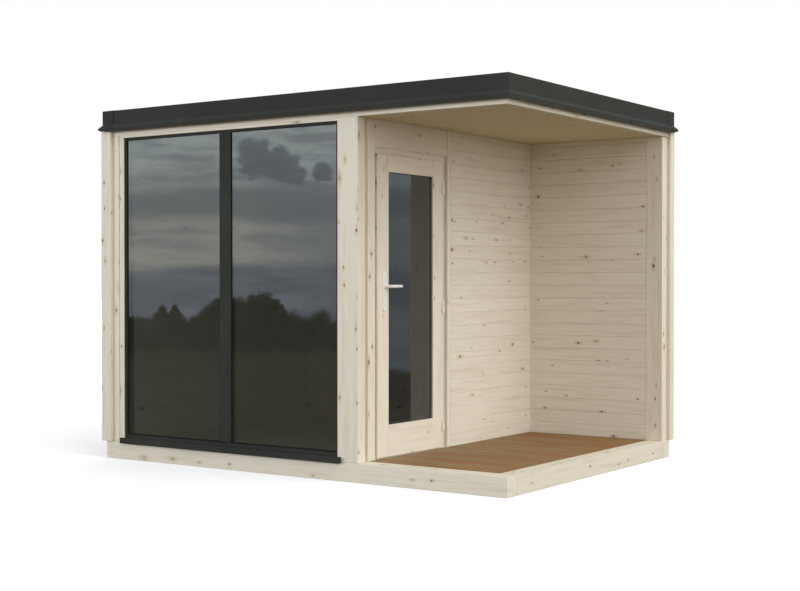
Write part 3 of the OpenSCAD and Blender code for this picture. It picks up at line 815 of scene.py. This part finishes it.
def hinges():
    slit = 0.0002
    arm_y = leaf.y1 + HINGE_CLEAR
    frame_half, leaf_half = new_mesh(), new_mesh()
    half = HINGE_HEIGHT / 2
    lowest, highest = box("hinge_frame_halves").z0, box("hinge_leaf_halves").z1
    for z in (lowest + half, (lowest + highest) / 2, highest - half):
        low, high = z - half, z + half
        for bm, start, end in ((frame_half, low, z - slit), (leaf_half, z + slit, high)):
            centre = (HINGE_X, HINGE_Y, 0)
            cap_low = 0.0025 if start == low else 0.0006
            cap_high = 0.0025 if end == high else 0.0006
            profile = ((KNUCKLE * 0.45, start), (KNUCKLE * 0.8, start + cap_low * 0.3),
                       (KNUCKLE, start + cap_low), (KNUCKLE, end - cap_high),
                       (KNUCKLE * 0.8, end - cap_high * 0.3), (KNUCKLE * 0.45, end))
            loft(bm, [circle(centre, Z, along, (radius,) * 32) for radius, along in profile])
        arm_end = (HINGE_X + PLATE / 2, arm_y + PLATE, z - slit)
        rounded_box(frame_half, (HINGE_X - PLATE / 2, HINGE_Y, low), arm_end, Z, 0.0006)
        rounded_box(frame_half, (door_frame.x1, arm_y, low), arm_end, Z, 0.0006)
        plate_y = HINGE_Y - 2 * KNUCKLE
        rounded_box(leaf_half, (wall.x1, plate_y, z + slit), (wall.x1 + PLATE, HINGE_Y, high), Z, 0.0006)
        for level in (z + 0.012, high - 0.012):
            screw(leaf_half, (wall.x1 + PLATE, plate_y + 0.004, level), X, 1, 0.003)
    piece("hinge_frame_knuckles", frame_half, hinge_painted_reflection, "cabin", "hinge_frame_halves",
          slot="satin_steel")
    piece("hinge_leaf_knuckles", leaf_half, hinge_painted_reflection, "door", "hinge_leaf_halves", slot="satin_steel")


def handle():
    bm = new_mesh()
    thick = plates.x1 - wall.x1
    for face_x, side in ((wall.x1, 1), (leaf.x0, -1)):
        rings = []
        for out, inset in ((0.0, 0.0), (thick - 0.003, 0.0), (thick - 0.0009, 0.0009), (thick, 0.003)):
            flat = outline(plates.y0 + inset, plates.z0 + inset, plates.y1 - inset,
                           plates.z1 - inset, 0.016 - inset, 6)
            rings.append(on_axis(X, face_x + side * out, flat))
        loft(bm, rings)
        for z in (plates.z0 + 0.016, plates.z1 - 0.016):
            screw(bm, (face_x + side * thick, LEVER_Y, z), X, side, 0.0042)
    piece("handle_backplates", bm, pale_satin_painted_reflection, "door", "handle_plates", slot="satin_steel")
    bm = new_mesh()
    b = box("lever")
    radius = (b.z1 - b.z0) / 2
    bend = 0.016
    clear = 0.0003
    for start, tip, side in ((plates.x1 + clear, b.x1, 1), (plates.x0 - clear, b.x0, -1)):
        grip_x = tip - side * radius
        path = []
        for out, girth in ((0.0, 0.0128), (0.0035, 0.0128), (0.0045, 0.0118), (0.0045, radius)):
            path.append((Vector((start + side * out, LEVER_Y, LEVER_Z)), girth))
        for i in range(9):
            turn = math.radians(90 * i / 8)
            x = grip_x - side * bend * (1 - math.sin(turn))
            path.append((Vector((x, LEVER_Y + bend * (1 - math.cos(turn)), LEVER_Z)), radius))
        for share, back in ((1.0, 0.003), (0.93, 0.0012), (0.75, 0.0003), (0.4, 0.0)):
            path.append((Vector((grip_x, b.y1 - back, LEVER_Z)), radius * share))
        sweep(bm, path)
    half = 0.0032
    low = (plates.x0 - clear, LEVER_Y - half, LEVER_Z - half)
    rounded_box(bm, low, (plates.x1 + clear, LEVER_Y + half, LEVER_Z + half), X, 0.0005, ease=False)
    piece("lever_handle", bm, pale_satin_painted_reflection, "lever", "lever", slot="satin_steel")


def sweep(bm, path, segments=24):
    """A round bar along (point, radius) pairs that lie in a level plane."""
    rings = []
    up = Vector((0, 0, 1))
    for i, (point, radius) in enumerate(path):
        before = path[max(i - 1, 0)][0]
        after = path[min(i + 1, len(path) - 1)][0]
        ahead = (after - before).normalized()
        side = ahead.cross(up)
        turns = [2 * math.pi * k / segments for k in range(segments)]
        rings.append([point + radius * (side * math.cos(a) + up * math.sin(a)) for a in turns])
    loft(bm, rings)


# ---- Roof ----

def ceiling_boards():
    bm = new_mesh()
    boards(bm, *ends(ceiling), X, Y, COURSE, arris=FINE_ARRIS)
    # The ceiling boards take the darker spruce: painted shade.
    wooden("ceiling_boards", bm, spruce_soffit_painted_shade, "ceiling")


SHEET = 0.002
CAP = 0.0012             # thickness of the corner caps' sheet
CAP_EDGE_STRIP = 0.004             # width of the dark rubber strip along a cap's edge
DRIP_OUT = 0.022
LIP_UP = 0.027           # height of the drip's upright lip
BEND_UP = 0.050          # height where the fascia starts to slope out
FLANGE = 0.090
CAP_REACH = 0.105        # how far a corner cap covers each side
TIP_LIFT = 0.014         # how much higher the drip ends at a capped corner
CAP_SLANT = 1.6          # how the cap's end leans to the corner on the drip


def fascia_section(skin, lift=0.0, sheet=SHEET):
    """The sheet in section as (out, up) pairs from the roof's edge, skin off its outer face."""
    bend = 0.004
    up = fascia.z1 - fascia.z0
    lip = DRIP_OUT - skin
    points = [(-FLANGE, up - sheet), (-FLANGE, up - skin)]
    for i in range(4):
        turn = math.radians(90 - 90 * i / 3)
        points.append((-bend - skin + bend * math.cos(turn), up - bend - skin + bend * math.sin(turn)))
    points += [(-skin, BEND_UP + 0.002), (0.0012 - skin, BEND_UP - 0.0012)]
    points += [(lip - 0.0012, LIP_UP + 0.0012), (lip, LIP_UP - 0.001), (lip, lift + 0.0012)]
    points += [(lip - 0.0005, lift), (DRIP_OUT - sheet, lift)]
    points += [(DRIP_OUT - sheet, LIP_UP - sheet * 0.5)]
    points += [(-sheet, BEND_UP - sheet * 0.5), (-sheet, up - sheet)]
    return points


def fascia_ring(corner, along, out_axis, out_sign, lean, section):
    """The section set up at a distance along the run, where lean shifts it as it goes out."""
    run_axis = Y if out_axis == X else X
    ring = []
    for out, up in section:
        p = Vector((0, 0, fascia.z0 + up))
        p[out_axis] = corner[out_axis] + out_sign * out
        p[run_axis] = corner[run_axis] + along + lean * out
        ring.append(p)
    return ring


def fascias():
    outer = {name: box("fascia_" + name) for name in ("front", "right", "back", "left")}
    x0, x1 = outer["left"].x0 + DRIP_OUT, outer["right"].x1 - DRIP_OUT
    y0, y1 = outer["front"].y0 + DRIP_OUT, outer["back"].y1 - DRIP_OUT
    front_left, front_right, back_left, back_right = (x0, y0), (x1, y0), (x0, y1), (x1, y1)
    runs = {
        "front": (front_left, front_right, Y, -1), "back": (back_left, back_right, Y, 1),
        "left": (front_left, back_left, X, -1), "right": (front_right, back_right, X, 1),
    }
    for name, (start, end, axis, sign) in runs.items():
        bm = new_mesh()
        stations = []
        for corner, way in ((start, 1), (end, -1)):
            capped = corner != front_right
            lift = TIP_LIFT if capped else 0.0
            tip = fascia_ring(corner, 0, axis, sign, -way, fascia_section(CAP, lift))
            edge = fascia_ring(corner, way * CAP_REACH, axis, sign, 0, fascia_section(CAP))
            stations += [tip, edge] if way == 1 else [edge, tip]
            if capped:
                cover = fascia_section(0.0, lift, CAP)
                square = fascia_section(0.0, 0.0, CAP)
                cap_end = fascia_ring(corner, way * CAP_REACH, axis, sign, -way * CAP_SLANT, square)
                loft(bm, [fascia_ring(corner, 0, axis, sign, -way, cover), cap_end])
                cap_edge_strip_end = fascia_ring(corner, way * (CAP_REACH + CAP_EDGE_STRIP), axis, sign,
                                       -way * CAP_SLANT, square)
                for face in loft(bm, [cap_end, cap_edge_strip_end]):
                    face.material_index = 1
        loft(bm, stations)
        piece(f"fascia_{name}_sheet", bm, anthracite, "cabin", "fascia_" + name, slot="fascia_metal",
              more=(rubber,))


FELT_WIDTH = 1.0
FELT_LAP = 0.08
FELT_THICK = 0.003


def roof_cover():
    """Strips of felt, each with the next one's edge lapped over it."""
    b = box("roof_membrane")
    bm = new_mesh()
    x = b.x0
    while x < b.x1:
        end = min(x + FELT_WIDTH, b.x1)
        rounded_box(bm, (x, b.y0, b.z0), (end, b.y1, b.z1), Y, 0.001, steps=1, ease=False)
        if end < b.x1:
            low, high = (end - FELT_LAP, b.y0, b.z1), (end, b.y1, b.z1 + FELT_THICK)
            rounded_box(bm, low, high, Y, 0.001, steps=1, ease=False)
        x = end
    piece("roof_felt", bm, membrane, "cabin", "roof_membrane", slot="roof_membrane")


def hidden_frame():
    """The joists and boards inside the floor and the roof keep their CAD shapes."""
    for node, axis in (("floor_joists", Y), ("roof_joists", Y), ("roof_boarding", X)):
        made = frame["nodes"][node]
        made.data.materials.clear()
        made.data.materials.append(spruce_hidden[axis])


ring_beams("base", base, deck, ((base.x0, room.x0), (room.x1, deck.x0), (deck.x1, base.x1)),
           "base_long_beams", "base_side_beams")
floors()
walls()
posts()
trims()
window_frame()
for side in ("left", "right"):
    glass_unit("window_unit_" + side, "window_glass_" + side, Y, "cabin", -1, WINDOW_SHEET, window_glass,
               SEAL)
sill()
door_surround()
door_leaf()
glass_unit("door_unit", "door_glass", X, "door", 1, DOOR_SHEET, door_tint, DOOR_SEAL)
hinges()
handle()
ring_beams("edge", beams, ceiling, ((base.x0, ceiling.x0), (ceiling.x1, base.x1)),
           "edge_beams_long", "edge_beams_side")
ceiling_boards()
fascias()
roof_cover()
hidden_frame()

# ---- Stage: floor, light and camera ----


def stage_floor():
    """A pale floor. Its own colour shows to the camera, and it throws less light back."""
    bm = bmesh.new()
    half = 60.0
    corners = ((-half, -half, 0), (half, -half, 0), (half, half, 0), (-half, half, 0))
    bm.faces.new([bm.verts.new(p) for p in corners])
    made = mesh_object("stage_floor", bm)
    material = bpy.data.materials.new("stage_floor")
    material.use_nodes = True
    tree = material.node_tree
    tree.nodes.clear()
    rays = add(tree, "LightPath").outputs
    seen = calc(tree, "MAXIMUM", rays["Is Camera Ray"], rays["Is Transmission Ray"])
    shade = blend(tree, seen, (0.215, 0.18, 0.125, 1), (0.85, 0.85, 0.85, 1))
    diffuse = add(tree, "BsdfDiffuse", {"Color": shade}).outputs[0]
    strength = calc(tree, "MULTIPLY", seen, 0.35)
    glow = add(tree, "Emission", {"Color": (1, 1, 1, 1), "Strength": strength}).outputs[0]
    both = add(tree, "AddShader", {0: diffuse, 1: glow}).outputs[0]
    out = add(tree, "OutputMaterial")
    tree.links.new(both, out.inputs["Surface"])
    made.data.materials.append(material)
    made.visible_glossy = False


def bank(tree, height, low, high, soft):
    """A level band of cloud: 1 between two heights, with soft edges."""
    rise = soft_step(tree, height, low - soft, low + soft)
    fall = soft_step(tree, height, high - soft, high + soft, 1.0, 0.0)
    return calc(tree, "MULTIPLY", rise, fall)


FILL = (0.128, 0.118, 0.094, 1)    # even light from all round
# Directions are parts of a unit vector: across is east, height is up
LOWEST_TREES = -0.041
TREES_VARY = 0.030
CROWN_FALL = 0.015       # how far a crown falls from its top to its side
TWIGS = 0.016            # how rough the crowns' edges are
EAST_DROP = 0.040        # how much lower the horizon is to the east
# Darker clouds that the window mirrors: direction east and up, width and height
HEAPED_CLOUDS = ((-0.647, 0.087, 0.0115, 0.016), (-0.634, 0.083, 0.0130, 0.015),
                 (-0.626, 0.076, 0.0080, 0.009), (-0.610, 0.0775, 0.0065, 0.008))
# Larger crowns against that sky: direction east, top, half width and how round the top is
CROWNS = ((-0.698, -0.016, 0.007, 1.0), (-0.6915, -0.016, 0.007, 1.0), (-0.663, -0.0115, 0.018, 2.5),
          (-0.646, -0.0088, 0.015, 2.0), (-0.612, -0.020, 0.007, 2.0))


def stage_world():
    """White to the camera, faint even light, and an evening sky for what glass and metal mirror."""
    world = bpy.data.worlds.new("studio")
    bpy.context.scene.world = world
    world.use_nodes = True
    tree = world.node_tree
    tree.nodes.clear()
    rays = add(tree, "LightPath").outputs
    way = add(tree, "TexCoord").outputs["Generated"]
    across, _, height = add(tree, "SeparateXYZ", {0: way}).outputs

    # Grey sky in level banks whose edges wander, with a few heaped clouds above them
    wander = noise(tree, stretch(tree, way, (7, 7, 30)), 1.0, 4.0, 0.6)
    level = calc(tree, "MULTIPLY_ADD", wander, 0.03, calc(tree, "ADD", height, -0.015))
    low_sky = blend(tree, soft_step(tree, across, -0.66, -0.60), (0.80, 0.81, 0.71, 1),
                    (0.46, 0.51, 0.53, 1))
    sky = blend(tree, soft_step(tree, height, 0.03, 0.10), low_sky, (0.90, 1.03, 1.03, 1))
    sky = blend(tree, calc(tree, "MULTIPLY", bank(tree, level, 0.044, 0.064, 0.006), 0.75), sky,
                (0.30, 0.34, 0.39, 1))
    sky = blend(tree, soft_step(tree, level, 0.014, 0.004), sky, (0.265, 0.31, 0.365, 1))
    wisps = noise(tree, stretch(tree, way, (14, 14, 90)), 1.0, 4.0, 0.65)
    sky = blend(tree, soft_step(tree, wisps, 0.40, 0.66, 0.0, 0.7), sky, (0.42, 0.47, 0.52, 1))
    heaps = noise(tree, stretch(tree, way, (20, 20, 34)), 1.0, 3.0, 0.5)
    heap_zone = bank(tree, height, 0.07, 0.12, 0.015)
    heaps = calc(tree, "MULTIPLY", soft_step(tree, heaps, 0.52, 0.6), heap_zone)
    sky = blend(tree, calc(tree, "MULTIPLY", heaps, 0.4), sky, (0.33, 0.38, 0.43, 1))
    outside = 9.0
    for x, z, width, tall in HEAPED_CLOUDS:
        from_cloud = add(tree, "CombineXYZ", {
            0: calc(tree, "MULTIPLY_ADD", across, 1 / width, -x / width),
            1: calc(tree, "MULTIPLY_ADD", height, 1 / tall, -z / tall)}).outputs[0]
        far = add(tree, "VectorMath", {0: from_cloud}, operation="LENGTH").outputs["Value"]
        outside = calc(tree, "MINIMUM", outside, far)
    ragged = noise(tree, stretch(tree, way, (120, 120, 190)), 1.0, 5.0, 0.68)
    outside = calc(tree, "MULTIPLY_ADD", ragged, 1.5, calc(tree, "ADD", outside, -0.75))
    sky = blend(tree, soft_step(tree, outside, 1.05, 0.7, 0.0, 0.85), sky, (0.28, 0.335, 0.39, 1))

    # Dark rounded trees along the horizon, which is lower to the east, and dim ground below them
    crowns = noise(tree, stretch(tree, way, (60, 60, 0)), 1.0, 2.0, 0.5)
    skyline = calc(tree, "MULTIPLY_ADD", crowns, TREES_VARY, LOWEST_TREES)
    for x, top, width, power in CROWNS:
        aside = calc(tree, "ABSOLUTE", calc(tree, "MULTIPLY_ADD", across, 1 / width, -x / width))
        crown = calc(tree, "MULTIPLY_ADD", calc(tree, "POWER", aside, power), -CROWN_FALL, top)
        skyline = calc(tree, "MAXIMUM", skyline, crown)
    twigs = noise(tree, stretch(tree, way, (300, 300, 300)), 1.0, 4.0, 0.7)
    skyline = calc(tree, "MULTIPLY_ADD", twigs, TWIGS, calc(tree, "ADD", skyline, -TWIGS / 2))
    lowered = calc(tree, "MULTIPLY_ADD", soft_step(tree, across, 0.2, 0.4), EAST_DROP, height)
    above = soft_step(tree, calc(tree, "SUBTRACT", lowered, skyline), -0.0006, 0.0006)
    leaves = noise(tree, stretch(tree, way, (120, 120, 160)), 1.0, 3.0, 0.6)
    trees = blend(tree, leaves, (0.015, 0.015, 0.008, 1), (0.05, 0.05, 0.03, 1))
    sky = blend(tree, above, trees, sky)
    ground = blend(tree, leaves, (0.05, 0.05, 0.03, 1), (0.085, 0.085, 0.055, 1))
    scene = blend(tree, soft_step(tree, lowered, -0.053, -0.050), ground, sky)

    even = blend(tree, rays["Is Camera Ray"], FILL, (1, 1, 1, 1))
    even = blend(tree, rays["Is Transmission Ray"], even, (1, 1, 1, 1))
    colour = blend(tree, rays["Is Glossy Ray"], even, scene)
    light = add(tree, "Background", {"Color": colour, "Strength": 1.0}).outputs[0]
    out = add(tree, "OutputWorld")
    tree.links.new(light, out.inputs["Surface"])


def stage_lamps():
    """Broad soft lights: (name, degrees round and up from the front, strength, softness, colour)."""
    for name, turn, up, strength, soft, colour in (
            ("light_front_left", -40, 7, 2.12, 30, (0.80, 0.87, 1.0)),
            ("light_front", 5, 12, 0.82, 50, (0.80, 0.87, 1.0)),
            ("light_right", 89, 6, 3.55, 90, (0.89, 0.935, 1.0)),
            ("light_above_right", 80, 60, 1.05, 50, (0.95, 0.96, 1.0)),
            ("light_back", 190, 30, 1.6, 90, (0.95, 0.97, 1.0))):
        lamp = bpy.data.lights.new(name, "SUN")
        lamp.energy = strength
        lamp.color = colour
        lamp.angle = math.radians(soft)
        made = new_object(name, lamp)
        round_z, rise = math.radians(turn), math.radians(up)
        come_from = Vector((math.sin(round_z) * math.cos(rise), -math.cos(round_z) * math.cos(rise),
                            math.sin(rise)))
        made.rotation_euler = come_from.to_track_quat("Z", "Y").to_euler()
        made.visible_glossy = False


def stage_camera():
    cam = bpy.data.cameras.new("camera")
    cam.sensor_width = 36.0
    cam.lens = 62.367
    made = new_object("camera", cam)
    made.location = (5.5605, -7.9445, 1.237)
    made.rotation_euler = (math.radians(90 - 0.6205), 0.0, math.radians(34.541))
    bpy.context.scene.camera = made


stage_floor()
stage_world()
stage_lamps()
stage_camera()
bpy.context.scene.view_settings.view_transform = "Standard"
